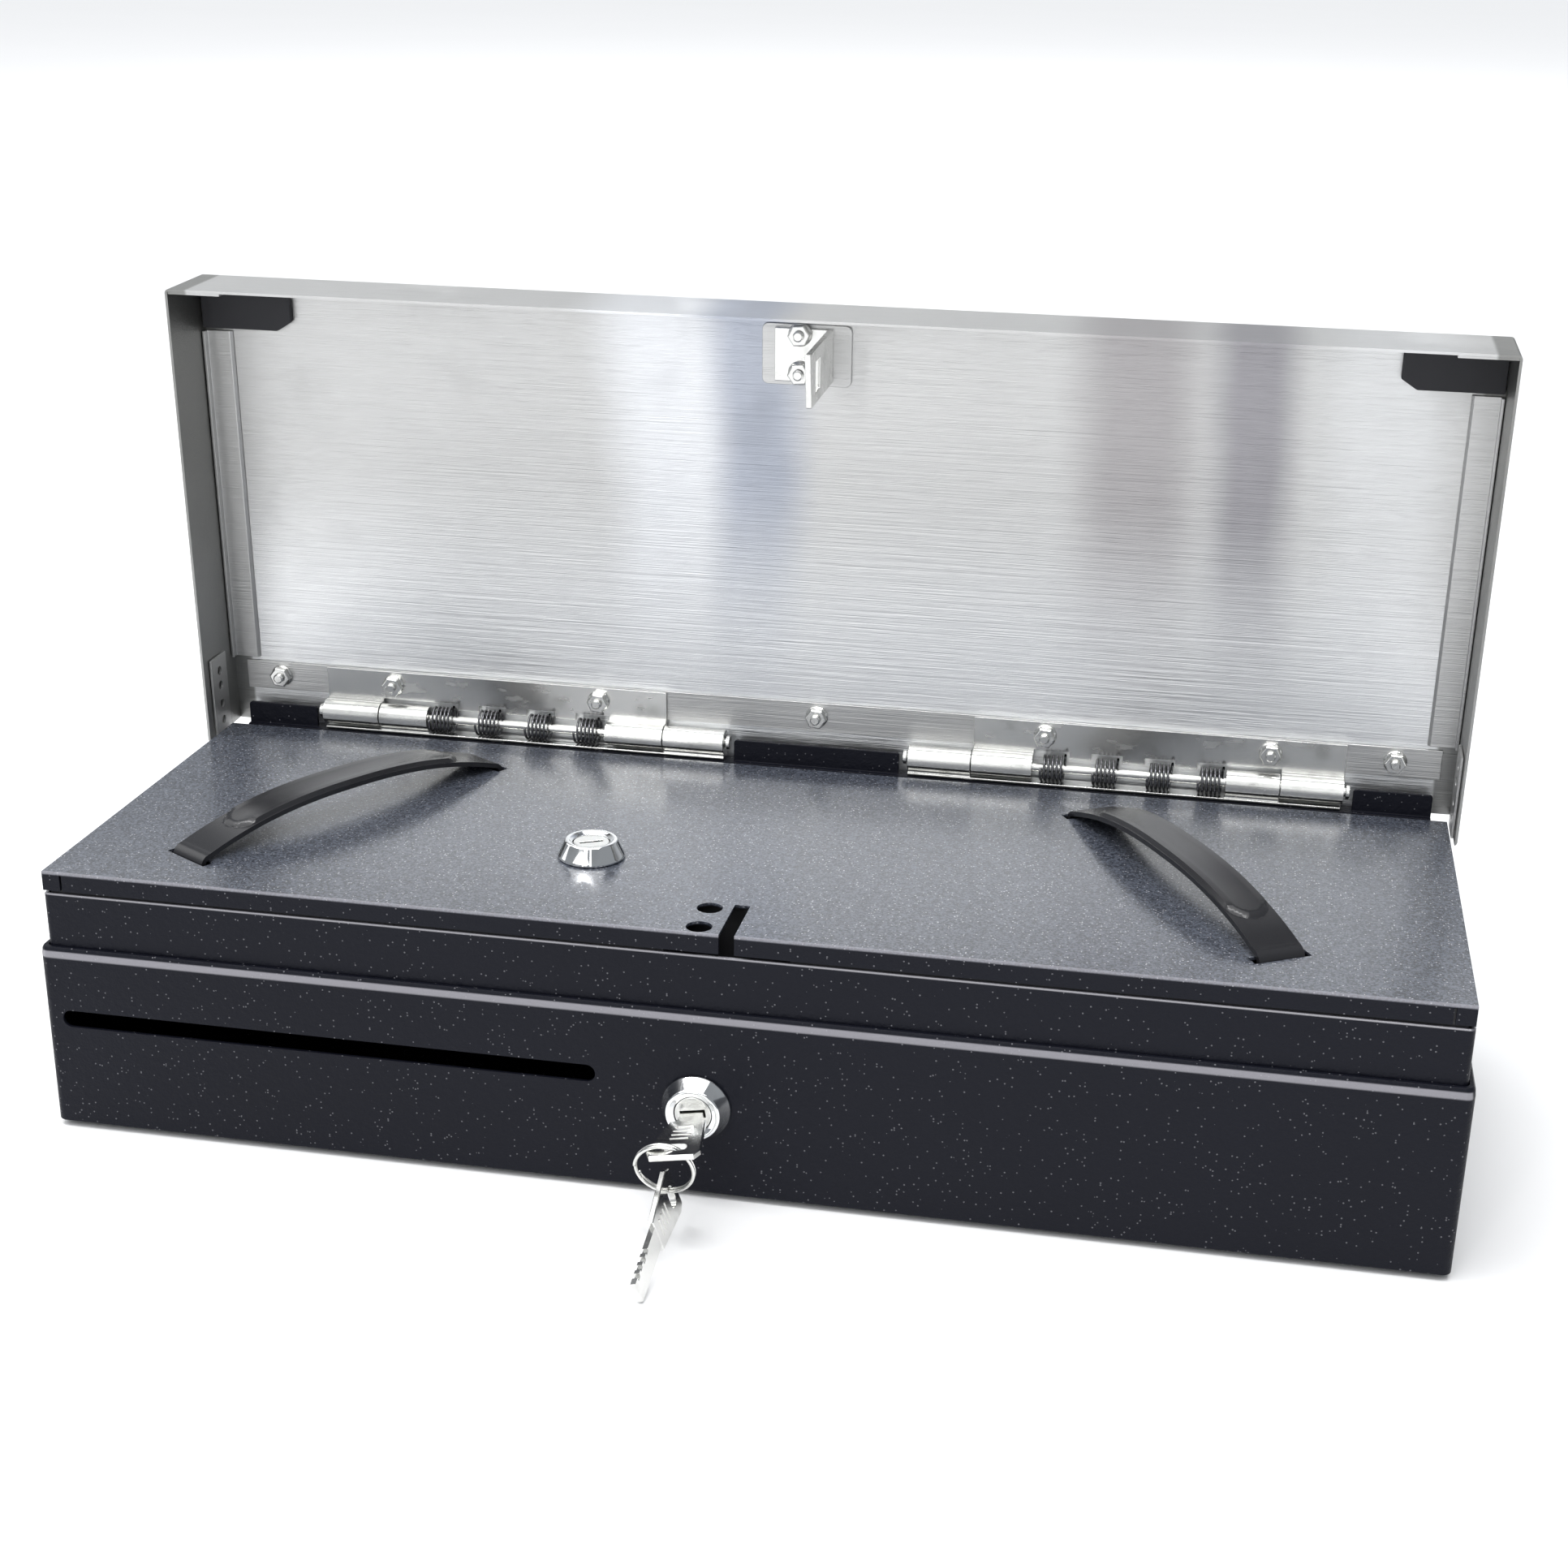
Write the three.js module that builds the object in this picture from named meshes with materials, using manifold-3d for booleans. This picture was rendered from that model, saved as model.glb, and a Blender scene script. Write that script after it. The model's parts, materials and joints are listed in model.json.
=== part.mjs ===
// Flip-top cash drawer: a low steel case, a sprung stainless lid, a lift-out cash tray with a
// lockable cover, a front key lock and a solenoid latch. Millimetres, +Z up, the front faces -Y.
// The origin is the middle of the case's underside. The lid is modelled shut and turned open by its group.
import * as THREE from "three";
import { mergeVertices } from "three/addons/utils/BufferGeometryUtils.js";
import Module from "manifold-3d";

// Driving dimensions
const WIDTH = 460;
const DEPTH = 170;
const FRONT = -DEPTH / 2;
const GAP = 0.3;
const CASE_SHEET = 1.2;
const LEDGE_TOP = 64.4;
const LEDGE_DROP = 2.9;
const RIM_INSET = 2.3;
const RIM_BOTTOM = 57;
const RIM_TOP = 82.8;
const COVER_TOP = 90.4;
const COVER_SHEET = 1.1;
const LID_TOP = 103;
const LID_SHEET = 0.9;
const SKIRT = 29.5;
const OPEN_ANGLE = THREE.MathUtils.degToRad(88);
const PIVOT_Y = 77.2;
const PIVOT_Z = 96.5;
const FOOT_HEIGHT = 2;

const LOCK = { x: -7.6, z: 31 };
const TRAY_LOCK = { x: -56.8, y: -28.6 };
const MEDIA_SLOT = { from: -223.8, to: -40.9, z: 38.9, height: 6 };
const TONGUE = {
  x: 2.2,
  thick: 2,
  front: -77,
  back: -58.4,
  tip: 57,
  window: [-72.5, -62],
  sill: 67.5,
  head: 76,
};
const LEVER = { x: -4, z: 47, front: -69, back: -62.5, bore: 3.3 };
const KEY_ROLL = THREE.MathUtils.degToRad(10);

const wasm = await Module();
wasm.setup();

// Materials
function material(color, roughness, metalness) {
  return new THREE.MeshStandardMaterial({ color, roughness, metalness });
}

const powderCoat = () => material(0x23262e, 0.55, 0.25);
const stainless = () => material(0xb9bcc0, 0.32, 1);
const zinc = () => material(0xc4c6c4, 0.3, 1);
const springSteel = () => material(0x34353a, 0.35, 1);
const chrome = () => material(0xe2e4e6, 0.08, 1);
const nickel = () => material(0xd0d2cf, 0.2, 1);
const glossBlack = () => material(0x0c0d10, 0.2, 0);
const rubber = () => material(0x14151a, 0.9, 0);
const trayPlastic = () => material(0x1b1c20, 0.5, 0);
const solenoidSteel = () => material(0x8b8f94, 0.4, 1);

// Solids: a geometry becomes a closed manifold to be joined or cut, and comes back as a geometry.
function solid(geometry) {
  const bare = geometry.clone();
  bare.deleteAttribute("normal");
  bare.deleteAttribute("uv");
  const merged = mergeVertices(bare, 1e-4);
  return new wasm.Manifold(
    new wasm.Mesh({
      numProp: 3,
      vertProperties: new Float32Array(merged.attributes.position.array),
      triVerts: new Uint32Array(merged.index.array),
    }),
  );
}

function toGeometry(manifold) {
  const mesh = manifold.getMesh();
  const geometry = new THREE.BufferGeometry();
  geometry.setAttribute("position", new THREE.BufferAttribute(new Float32Array(mesh.vertProperties), 3));
  geometry.setIndex(new THREE.BufferAttribute(new Uint32Array(mesh.triVerts), 1));
  return geometry;
}

function join(...geometries) {
  return toGeometry(geometries.map(solid).reduce((sum, next) => sum.add(next)));
}

function cut(body, ...tools) {
  return toGeometry(tools.map(solid).reduce((left, tool) => left.subtract(tool), solid(body)));
}

// A box from its lowest to its highest corner.
function block(x0, x1, y0, y1, z0, z1) {
  const box = new THREE.BoxGeometry(x1 - x0, y1 - y0, z1 - z0);
  return box.translate((x0 + x1) / 2, (y0 + y1) / 2, (z0 + z1) / 2);
}

function roundedRect(halfX, halfY, radius) {
  const shape = new THREE.Shape();
  shape.moveTo(-halfX + radius, -halfY);
  shape.lineTo(halfX - radius, -halfY);
  shape.absarc(halfX - radius, -halfY + radius, radius, -Math.PI / 2, 0);
  shape.lineTo(halfX, halfY - radius);
  shape.absarc(halfX - radius, halfY - radius, radius, 0, Math.PI / 2);
  shape.lineTo(-halfX + radius, halfY);
  shape.absarc(-halfX + radius, halfY - radius, radius, Math.PI / 2, Math.PI);
  shape.lineTo(-halfX, -halfY + radius);
  shape.absarc(-halfX + radius, -halfY + radius, radius, Math.PI, Math.PI * 1.5);
  return shape;
}

function capsule(length, height) {
  return roundedRect(length / 2, height / 2, height / 2 - 0.01);
}

// An upright prism of a plan outline, with softened top and bottom edges when given.
function upright(shape, z0, z1, edge = 0, drop = edge, curveSegments = 4) {
  const geometry = new THREE.ExtrudeGeometry(shape, {
    depth: z1 - z0 - 2 * drop,
    curveSegments,
    bevelEnabled: edge > 0,
    bevelSize: edge,
    bevelOffset: -edge,
    bevelThickness: drop,
    bevelSegments: edge === drop ? 1 : 2,
  });
  return geometry.translate(0, 0, z0 + drop);
}

// A prism of an outline drawn in X and Z, running along Y from y0 to y1.
function alongY(shape, y0, y1, curveSegments = 6) {
  const settings = { depth: y1 - y0, curveSegments, bevelEnabled: false };
  const geometry = new THREE.ExtrudeGeometry(shape, settings);
  return geometry.rotateX(Math.PI / 2).translate(0, y1, 0);
}

// A prism of an outline drawn in Y and Z, running along X from x0 to x1.
function alongX(shape, x0, x1, curveSegments = 6) {
  const settings = { depth: x1 - x0, curveSegments, bevelEnabled: false };
  const geometry = new THREE.ExtrudeGeometry(shape, settings);
  return geometry.rotateX(Math.PI / 2).rotateZ(Math.PI / 2).translate(x0, 0, 0);
}

function polygon(points) {
  return new THREE.Shape(points.map(([u, v]) => new THREE.Vector2(u, v)));
}

function rodX(x0, x1, y, z, radius, sides = 16) {
  const rod = new THREE.CylinderGeometry(radius, radius, x1 - x0, sides);
  return rod.rotateZ(Math.PI / 2).translate((x0 + x1) / 2, y, z);
}

function rodY(y0, y1, x, z, radius, sides = 24) {
  return new THREE.CylinderGeometry(radius, radius, y1 - y0, sides).translate(x, (y0 + y1) / 2, z);
}

function rodZ(z0, z1, x, y, radius, sides = 24) {
  const rod = new THREE.CylinderGeometry(radius, radius, z1 - z0, sides);
  return rod.rotateX(Math.PI / 2).translate(x, y, (z0 + z1) / 2);
}

// A turned piece: radius and height pairs from bottom to top, spun about Z.
function turned(profile, sides = 28) {
  const points = profile.map(([radius, height]) => new THREE.Vector2(radius, height));
  return new THREE.LatheGeometry(points, sides).rotateX(Math.PI / 2);
}

function place(group, name, geometry, finish) {
  const mesh = new THREE.Mesh(geometry, finish);
  mesh.name = name;
  group.add(mesh);
  return mesh;
}

// ---- Case ----

function lowerCase() {
  const plan = roundedRect(WIDTH / 2, DEPTH / 2, 3);
  const outer = join(upright(plan, 0, 30, 0.4), upright(plan, 20, LEDGE_TOP, 0.8, LEDGE_DROP));
  const inside = roundedRect(WIDTH / 2 - CASE_SHEET, DEPTH / 2 - CASE_SHEET, 2);
  const cavity = upright(inside, CASE_SHEET, LEDGE_TOP - CASE_SHEET);
  const aroundRim = roundedRect(WIDTH / 2 - RIM_INSET + GAP, DEPTH / 2 - RIM_INSET + GAP, 2);
  const mouth = upright(aroundRim, 60, LEDGE_TOP + 1);
  const slotLength = MEDIA_SLOT.to - MEDIA_SLOT.from;
  const slot = alongY(capsule(slotLength, MEDIA_SLOT.height), FRONT - 1, FRONT + 3);
  slot.translate((MEDIA_SLOT.from + MEDIA_SLOT.to) / 2, 0, MEDIA_SLOT.z);
  const lockHole = rodY(FRONT - 1, FRONT + 3, LOCK.x, LOCK.z, 9.3);
  const cableHole = rodY(-FRONT - 3, -FRONT + 1, CABLE.x, CABLE.z, CABLE.hole);
  const seats = FEET.map(([x, y]) => rodZ(-1, FOOT.seat, x, y, FOOT.radius + 0.4, 24));
  return cut(outer, cavity, mouth, slot, lockHole, cableHole, ...seats);
}

// Round feet stand in shallow seats pressed into the underside.
const FOOT = { radius: 7, seat: 0.5 };
const FEET = [-1, 1].flatMap((side) => [-1, 1].map((end) => [side * 205, end * 61]));

const CABLE = { x: 168, z: 18, hole: 7.2, groove: 6.9, bore: 3.6, lip: 9.5 };

function upperRim() {
  const halfX = WIDTH / 2 - RIM_INSET;
  const halfY = DEPTH / 2 - RIM_INSET;
  const band = upright(roundedRect(halfX, halfY, 2.2), RIM_BOTTOM, RIM_TOP, 0.4);
  const inside = roundedRect(halfX - CASE_SHEET, halfY - CASE_SHEET, 1.2);
  const well = upright(inside, RIM_BOTTOM + CASE_SHEET, RIM_TOP + 1);
  const shelf = 6;
  const opening = block(-halfX + shelf, halfX - shelf, FRONT + 4, -FRONT - 4, RIM_BOTTOM - 1, RIM_TOP + 1);
  return cut(band, well, opening);
}

// The rail behind the tray: an upright leg, a shelf for the hinges and three tabs that stand above it.
function rearRail() {
  const legBack = PIVOT_Y + 3.9;
  const shelfFront = 73.8;
  const tabTop = 98;
  const pieces = [
    block(-222, 222, legBack - CASE_SHEET, legBack, 66, 90),
    block(-222, 222, shelfFront, legBack, 88.8, 90),
  ];
  for (const [x0, x1] of RAIL_TABS) {
    const outline = roundedRect((x1 - x0) / 2, (tabTop - 88.8) / 2, 1.2);
    pieces.push(alongY(outline, 76, 77.5, 3).translate((x0 + x1) / 2, 0, (tabTop + 88.8) / 2));
  }
  return join(...pieces);
}

const RAIL_TABS = [
  [-222, -194.5],
  [-31, 31],
  [194.5, 222],
];

function foot() {
  const { radius, seat } = FOOT;
  const top = seat - GAP;
  const profile = [
    [0, -FOOT_HEIGHT],
    [radius - 0.6, -FOOT_HEIGHT],
    [radius, 0.6 - FOOT_HEIGHT],
    [radius, top],
    [0, top],
  ];
  return turned(profile, 20);
}

// A grommet that grips the rear wall between two lips.
function cableGrommet() {
  const wall = CASE_SHEET + 2 * GAP;
  const profile = [
    [CABLE.bore, 0],
    [CABLE.lip, 0],
    [CABLE.lip, 1.6],
    [CABLE.groove, 1.6],
    [CABLE.groove, 1.6 + wall],
    [CABLE.lip, 1.6 + wall],
    [CABLE.lip, 3.2 + wall],
    [CABLE.bore, 3.2 + wall],
    [CABLE.bore, 0],
  ];
  const grommet = turned(profile, 24).rotateX(-Math.PI / 2);
  return grommet.translate(CABLE.x, -FRONT - CASE_SHEET - GAP - 1.6, CABLE.z);
}

// ---- Lid hinges: each side mirrors the other. From the middle outwards a case knuckle, a lid knuckle, ----
// ---- four torsion springs, a case knuckle and a lid knuckle sit on one rod. ----

const KNUCKLE = 4.6;
const ROD = 1.7;
const BORE = 2.05;
const CASE_KNUCKLES = [
  [34.5, 57.7],
  [149.6, 168.7],
];
const LID_KNUCKLES = [
  [58, 80],
  [169, 191],
];
const SPRING_CENTRES = [87.5, 106.5, 126, 144.2];
const SPRING = { outer: 5.1, inner: 2.2, length: 9.5, coils: 4 };

function mirrored([x0, x1], side) {
  return side > 0 ? [x0, x1] : [-x1, -x0];
}

function hingeCaseLeaf(side) {
  const plateBottom = 90 + GAP;
  const plateTop = plateBottom + 1.1;
  const [p0, p1] = mirrored([34.5, 190.5], side);
  const pieces = [block(p0, p1, 74.2, 80.4, plateBottom, plateTop)];
  for (const span of CASE_KNUCKLES) {
    const [x0, x1] = mirrored(span, side);
    pieces.push(rodX(x0, x1, PIVOT_Y, PIVOT_Z, KNUCKLE, 24));
    pieces.push(block(x0, x1, PIVOT_Y - 2.2, PIVOT_Y + 2.2, plateBottom, PIVOT_Z - 3));
  }
  const bore = rodX(p0 - 5, p1 + 5, PIVOT_Y, PIVOT_Z, BORE, 20);
  return cut(join(...pieces), bore);
}

function hingeLidLeaf(side) {
  const back = LEAF_TOP;
  const face = back - 1;
  const plateEnd = PIVOT_Y - KNUCKLE - 0.9;
  const [p0, p1] = mirrored([57.8, 191], side);
  const pieces = [block(p0, p1, STRIP.front + 0.2, plateEnd, face, back)];
  for (const span of LID_KNUCKLES) {
    const [x0, x1] = mirrored(span, side);
    pieces.push(rodX(x0, x1, PIVOT_Y, PIVOT_Z, KNUCKLE, 24));
    pieces.push(block(x0, x1, PIVOT_Y - KNUCKLE, PIVOT_Y, PIVOT_Z + 1, PIVOT_Z + KNUCKLE));
    pieces.push(block(x0, x1, plateEnd - 1, PIVOT_Y - 3, face, back));
  }
  for (let i = 0; i < SPRING_CENTRES.length - 1; i++) {
    const middle = (SPRING_CENTRES[i] + SPRING_CENTRES[i + 1]) / 2;
    const [x0, x1] = mirrored([middle - 4, middle + 4], side);
    pieces.push(block(x0, x1, plateEnd - 1, plateEnd + 2.6, face, back));
  }
  const bore = rodX(p0 - 5, p1 + 5, PIVOT_Y, PIVOT_Z, BORE, 20);
  return cut(join(...pieces), bore);
}

function hingeRod(side) {
  const [x0, x1] = mirrored([32.6, 193.2], side);
  const heads = [
    [x0, x0 + 1.4],
    [x1 - 1.4, x1],
  ].map(([a, b]) => rodX(a, b, PIVOT_Y, PIVOT_Z, 2.6, 12));
  return join(rodX(x0 + 1, x1 - 1, PIVOT_Y, PIVOT_Z, ROD, 12), ...heads);
}

// A close-wound spring as one ribbed sleeve.
function torsionSpring() {
  const { outer, inner, length, coils } = SPRING;
  const pitch = length / coils;
  const profile = [[inner, -length / 2]];
  for (let coil = 0; coil < coils; coil++) {
    const z = coil * pitch - length / 2;
    profile.push([outer - 0.7, z]);
    profile.push([outer, z + pitch / 2]);
  }
  profile.push([outer - 0.7, length / 2]);
  profile.push([inner, length / 2]);
  profile.push([inner, -length / 2]);
  return turned(profile, 12).rotateY(Math.PI / 2);
}

// ---- Lid, drawn shut ----

const LID_INNER = LID_TOP - LID_SHEET;
const STRIP = { front: 60.7, back: 71.8, half: 224, thick: 0.8 };
const STRIP_FACE = LID_INNER - GAP - STRIP.thick;
const LEAF_TOP = STRIP_FACE - GAP;

function lidSkin() {
  const bottom = LID_TOP - SKIRT;
  const half = WIDTH / 2;
  const shell = upright(roundedRect(half, DEPTH / 2, 1.5), bottom, LID_TOP);
  const inner = half - LID_SHEET;
  const hollow = block(-inner, inner, FRONT + LID_SHEET, -FRONT + 5, bottom - 1, LID_INNER);
  const tabFront = FRONT + LID_SHEET + 0.1;
  const tabs = [-1, 1].map((side) => {
    const [x0, x1] = mirrored([half - 20, half - LID_SHEET / 2], side);
    return block(x0, x1, tabFront, tabFront + 0.8, bottom + 0.4, LID_INNER + 0.2);
  });
  return join(cut(shell, hollow), ...tabs);
}

function hingeStrip() {
  return block(-STRIP.half, STRIP.half, STRIP.front, STRIP.back, STRIP_FACE, STRIP_FACE + STRIP.thick);
}

function sideFrame(side) {
  const x = side * (WIDTH / 2 - LID_SHEET - GAP);
  const outline = [
    [x, LID_INNER - GAP],
    [x, LID_INNER - 4],
    [x - side * 1, LID_INNER - 4],
    [x - side * 1, LID_INNER - 1.5],
    [x - side * 9.5, LID_INNER - 1.5],
    [x - side * 10.5, LID_INNER - GAP],
  ];
  return alongY(polygon(side > 0 ? outline.reverse() : outline), FRONT + 19.5, STRIP.front - 1.5);
}

// A flanged hex nut on a stud end, seated at z = 0 and pointing down.
function flangeNut() {
  const flange = rodZ(-0.8, 0, 0, 0, 4.2, 16);
  const hex = rodZ(-3.6, -0.4, 0, 0, 4.04, 6);
  const stud = rodZ(-4.9, -1, 0, 0, 1.9, 8);
  return join(flange, hex, stud);
}

const STRIP_NUTS = [-210, -164.5, -83.8, -0.8, 83.8, 164.5, 208];
const STRIKER_NUTS = [-75, -61.6];

function cornerPad(side) {
  const wide = 34;
  const deep = 16;
  const x0 = WIDTH / 2 - LID_SHEET - GAP - wide;
  const y0 = FRONT + 2.4;
  const outline = [
    [x0, y0],
    [x0 + wide, y0],
    [x0 + wide, y0 + deep],
    [x0 + 5.5, y0 + deep],
    [x0, y0 + deep - 3.5],
  ].map(([x, y]) => [side * x, y]);
  return upright(polygon(side > 0 ? outline : outline.reverse()), LID_INNER - GAP - 2.6, LID_INNER - GAP);
}

// The perforated plate on the inside of each side skirt, by the hinge.
function flangePlate(side) {
  const inner = WIDTH / 2 - LID_SHEET - GAP;
  const [x0, x1] = mirrored([inner - 0.8, inner], side);
  const plate = block(x0, x1, 54, 84, 78, 91);
  const holes = [59.8, 65.6, 72.9, 79.5].map((y) => rodX(x0 - 1, x1 + 1, y, 84.6, 1.7, 14));
  return cut(plate, ...holes);
}

const STRIKER_BASE_FACE = LID_INNER - GAP - 1;

function strikerBase() {
  const plate = upright(roundedRect(15.8, 10.6, 2.2), STRIKER_BASE_FACE, STRIKER_BASE_FACE + 1);
  return plate.translate(-6.2, -67.5, 0);
}

// The bent striker: a foot bolted to the lid and a windowed tongue that reaches down into the case.
function strikerBracket() {
  const footTop = STRIKER_BASE_FACE - GAP;
  const x0 = TONGUE.x - TONGUE.thick / 2;
  const x1 = TONGUE.x + TONGUE.thick / 2;
  const outline = polygon([
    [TONGUE.front, footTop],
    [TONGUE.front, TONGUE.tip],
    [TONGUE.back, TONGUE.tip + 3.5],
    [TONGUE.back, footTop],
  ]);
  const tongue = alongX(outline, x0, x1);
  const base = block(-17.3, x1, TONGUE.front, TONGUE.back, footTop - 1.4, footTop);
  const window = block(x0 - 1, x1 + 1, TONGUE.window[0], TONGUE.window[1], TONGUE.sill, TONGUE.head);
  return cut(join(tongue, base), window);
}

// ---- Cash tray: a moulded tub with two note bays each side and a well for the coin cups ----

const TRAY = {
  half: 225.6,
  front: -80.9,
  back: 71.8,
  top: 88.8,
  base: 46,
  step: 58.8,
  wall: 1.8,
  floor: 1.8,
};
const TRAY_STEP_SIDE = 7.5;
const TRAY_STEP_FRONT = 2.5;
const TRAY_TOP_REAR = 87.4;
const WELL = { half: 74.1, divider: 149.5 };
const RECESS = { left: -19, right: 21, back: -54 };

function cashTray() {
  const { half, front, back, top, base, step, wall, floor } = TRAY;
  const upper = block(-half, half, front, back, step, top);
  const lowHalf = half - TRAY_STEP_SIDE;
  const lowFront = front + TRAY_STEP_FRONT;
  const lower = block(-lowHalf, lowHalf, lowFront, back, base, step + 1);
  const cuts = [block(-half - 5, half + 5, back - 3, back + 1, TRAY_TOP_REAR, top + 1)];
  const inner = WELL.half + wall;
  for (const side of [-1, 1]) {
    for (const [from, to] of [[inner, WELL.divider], [WELL.divider + wall, half - wall]]) {
      const [x0, x1] = mirrored([from, to], side);
      const [low0, low1] = mirrored([from, Math.min(to, lowHalf - wall)], side);
      cuts.push(block(x0, x1, front + wall, back - wall, step + floor, top + 1));
      cuts.push(block(low0, low1, lowFront + wall, back - wall, base + floor, step + 2));
    }
  }
  const well = block(-WELL.half, WELL.half, lowFront + wall, back - wall, base + floor, top + 1);
  const kept = block(RECESS.left - wall, RECESS.right + wall, front, RECESS.back + wall, base, top + 2);
  cuts.push(cut(well, kept));
  cuts.push(block(RECESS.left, RECESS.right, front - 5, RECESS.back, base - 1, top + 1));
  return cut(join(upper, lower), ...cuts);
}

// ---- Coin cups: six cups in one moulding that lifts out of the tray's well ----

const CUPS = {
  half: 73.8,
  wall: 1.5,
  floor: 1.5,
  top: 81.5,
  middle: 12,
  columns: [-72.3, -25.75, -24.25, 24.25, 25.75, 72.3],
};
const CATCH = { left: -72, right: -66, low: 70.7, thick: 1.8, pocket: 1 };

function coinCups() {
  const { half, wall, floor, top, middle, columns } = CUPS;
  const base = TRAY.base + TRAY.floor + GAP;
  const front = TRAY.front + TRAY_STEP_FRONT + TRAY.wall + GAP;
  const back = TRAY.back - TRAY.wall - GAP;
  const notchBack = RECESS.back + TRAY.wall + GAP;
  const cuts = [block(columns[2], columns[3], front - 1, notchBack, base - 1, top + 1)];
  for (const column of [0, 2, 4]) {
    const [x0, x1] = [columns[column], columns[column + 1]];
    const rowFront = column === 2 ? notchBack + wall : front + wall;
    cuts.push(block(x0, x1, rowFront, middle - wall / 2, base + floor, top + 1));
    cuts.push(block(x0, x1, middle + wall / 2, back - wall, base + floor, top + 1));
  }
  const { left, right, low, thick, pocket } = CATCH;
  const pocketFront = front + wall - pocket;
  const pocketBack = middle - wall / 2 + pocket;
  cuts.push(block(left - GAP, right + GAP, pocketFront, pocketBack, low - GAP, low + thick + GAP));
  return cut(block(-half, half, front, back, base, top), ...cuts);
}

// The steel strip in the front left cup that the tray lock's cam turns under.
function trayCatch() {
  const front = TRAY.front + TRAY_STEP_FRONT + TRAY.wall + GAP + CUPS.wall - CATCH.pocket + GAP;
  const back = CUPS.middle - CUPS.wall / 2 + CATCH.pocket - GAP;
  return block(CATCH.left, CATCH.right, front, back, CATCH.low, CATCH.low + CATCH.thick);
}

// ---- Tray cover ----

const COVER = { half: 227.4, front: FRONT + 2.6, back: 71.5, skirt: 6.6 };
const COVER_TABS = [-112, 0, 112];
const STRAPS = [
  { name: "left", x: -152.4, y: -4.8, turn: THREE.MathUtils.degToRad(-31.3) },
  { name: "right", x: 136.6, y: -4.8, turn: THREE.MathUtils.degToRad(31.3) },
];
const STRAP = { span: 128, width: 16, thick: 2, bow: 12, anchor: 4, clear: 1.9 };

function trayCover() {
  const under = COVER_TOP - COVER_SHEET;
  const low = COVER_TOP - COVER.skirt;
  const cornerReturn = 6;
  const pieces = [block(-COVER.half, COVER.half, COVER.front, COVER.back, under, COVER_TOP)];
  const front = COVER.front;
  const lipHalf = COVER.half - cornerReturn - 0.8;
  pieces.push(block(-lipHalf, lipHalf, front, front + COVER_SHEET, low, COVER_TOP - 0.2));
  for (const side of [-1, 1]) {
    const [s0, s1] = mirrored([COVER.half - COVER_SHEET, COVER.half], side);
    pieces.push(block(s0, s1, front, COVER.back, low, COVER_TOP - 0.2));
    const [c0, c1] = mirrored([COVER.half - cornerReturn, COVER.half - 0.1], side);
    pieces.push(block(c0, c1, front + 0.05, front + COVER_SHEET, low, under + 0.2));
  }
  for (const x of COVER_TABS) {
    pieces.push(block(x - 12, x + 12, 67.9, 69, low, under + 0.2));
  }
  const cuts = [
    block(-1.3, 3.7, front - 2, -58, low - 1, COVER_TOP + 1),
    rodZ(under - 1, COVER_TOP + 1, -8.6, -77.4, 4.2, 20),
    rodZ(under - 1, COVER_TOP + 1, -8.6, -62.3, 4.2, 20),
    rodZ(under - 1, COVER_TOP + 1, TRAY_LOCK.x, TRAY_LOCK.y, 9.3, 28),
  ];
  for (const strap of STRAPS) {
    for (const end of [-1, 1]) {
      const slot = block(-10, 10, -2.3, 2.3, under - 1, COVER_TOP + 1);
      slot.translate(0, (end * STRAP.span) / 2, 0).rotateZ(strap.turn).translate(strap.x, strap.y, 0);
      cuts.push(slot);
    }
  }
  return cut(join(...pieces), ...cuts);
}

// A flexible strap that bows over the cover, each end turned down through its slot.
function strapHandle(strap) {
  const { span, width, thick, bow, anchor, clear } = STRAP;
  const half = span / 2;
  const steps = 14;
  const arch = (share) => COVER_TOP + clear + (bow - clear) * (1 - Math.pow(Math.abs(share), 2.4));
  const upper = [[-half - thick / 2, COVER_TOP - anchor]];
  const lower = [[-half + thick / 2, COVER_TOP - anchor]];
  for (let i = 0; i <= steps; i++) {
    const share = (2 * i) / steps - 1;
    upper.push([share * (half + thick / 2), arch(share)]);
    lower.push([share * (half - thick / 2), arch(share * 0.985) - thick]);
  }
  upper.push([half + thick / 2, COVER_TOP - anchor]);
  lower.push([half - thick / 2, COVER_TOP - anchor]);
  const band = alongX(polygon([...lower, ...upper.reverse()]), -width / 2, width / 2);
  return band.rotateZ(strap.turn).translate(strap.x, strap.y, 0);
}

// ---- Locks: a conical bezel and barrel, drawn along +Z with the bezel's seat at z = 0 ----

const LOCKS = { bezel: 11.3, nose: 8.5, rise: 6.3, barrel: 8.9, bore: 6.3, plug: 6 };

function lockHousing(length) {
  const { bezel, nose, rise, barrel, bore } = LOCKS;
  const profile = [
    [bore, -length],
    [barrel, -length],
    [barrel, GAP],
    [bezel, GAP],
    [bezel, GAP + 0.8],
    [nose + 0.3, rise - 0.3],
    [nose, rise],
    [nose - 0.9, rise],
    [bore, rise - 0.9],
    [bore, -length],
  ];
  return turned(profile, 28);
}

// The turning plug, with a keyway from its face down to the given depth.
function lockPlug(length, keyDepth, keyWide, keyThick) {
  const face = LOCKS.rise - 1;
  const body = rodZ(-length, face, 0, 0, LOCKS.plug, 28);
  const keyway = block(-keyWide / 2, keyWide / 2, -keyThick / 2, keyThick / 2, face - keyDepth, face + 1);
  return cut(body, keyway);
}

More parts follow.
